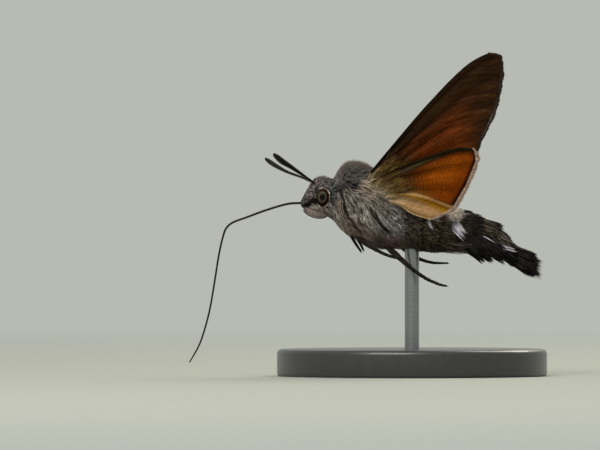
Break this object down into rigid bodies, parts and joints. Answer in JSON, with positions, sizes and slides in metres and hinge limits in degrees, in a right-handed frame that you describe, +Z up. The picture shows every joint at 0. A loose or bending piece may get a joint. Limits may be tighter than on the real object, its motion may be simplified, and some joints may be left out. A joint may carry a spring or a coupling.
{
  "type": "hummingbird hawk moth display model",
  "caption": "Life-size still model of a hovering hawk moth with raised wings, a long drooping proboscis and a tufted tail, held over a round base by a rod.",
  "frame": {"origin": "centre of the round base's underside, on the floor", "axes": "+Z up, -X the way the moth faces, -Y its left side"},
  "size_m": [0.0399, 0.03, 0.0363],
  "materials": {
    "grey_coat": "matt grey-brown scales and hair",
    "dark_coat": "matt brown-black scales and hair with white side tufts",
    "palp_scales": "smooth pinkish grey scales",
    "eye": "glossy dark brown with fine facets",
    "chitin": "satin brown-black",
    "forewing_scales": "matt brown scales, rusty in the middle",
    "hindwing_scales": "matt orange scales with a darker margin",
    "stand_steel": "brushed",
    "stand_lacquer": "satin black lacquer"
  },
  "bodies": {
    "root": {"head": "grey_coat", "palp_left": "palp_scales", "palp_right": "palp_scales", "eye_left": "eye", "eye_right": "eye", "antenna_left": "chitin", "antenna_right": "chitin", "proboscis_base": "chitin", "proboscis_bend": "chitin", "proboscis_end": "chitin", "thorax": "grey_coat", "abdomen": "dark_coat", "tail_fan": "dark_coat", "forewing_left": "forewing_scales", "forewing_right": "forewing_scales", "hindwing_left": "hindwing_scales", "hindwing_right": "hindwing_scales", "foreleg_left": "chitin", "foreleg_right": "chitin", "midleg_left": "chitin", "midleg_right": "chitin", "hindleg_left": "chitin", "hindleg_right": "chitin", "stand_base": "stand_lacquer", "stand_rod": "stand_steel"}
  },
  "joints": []
}
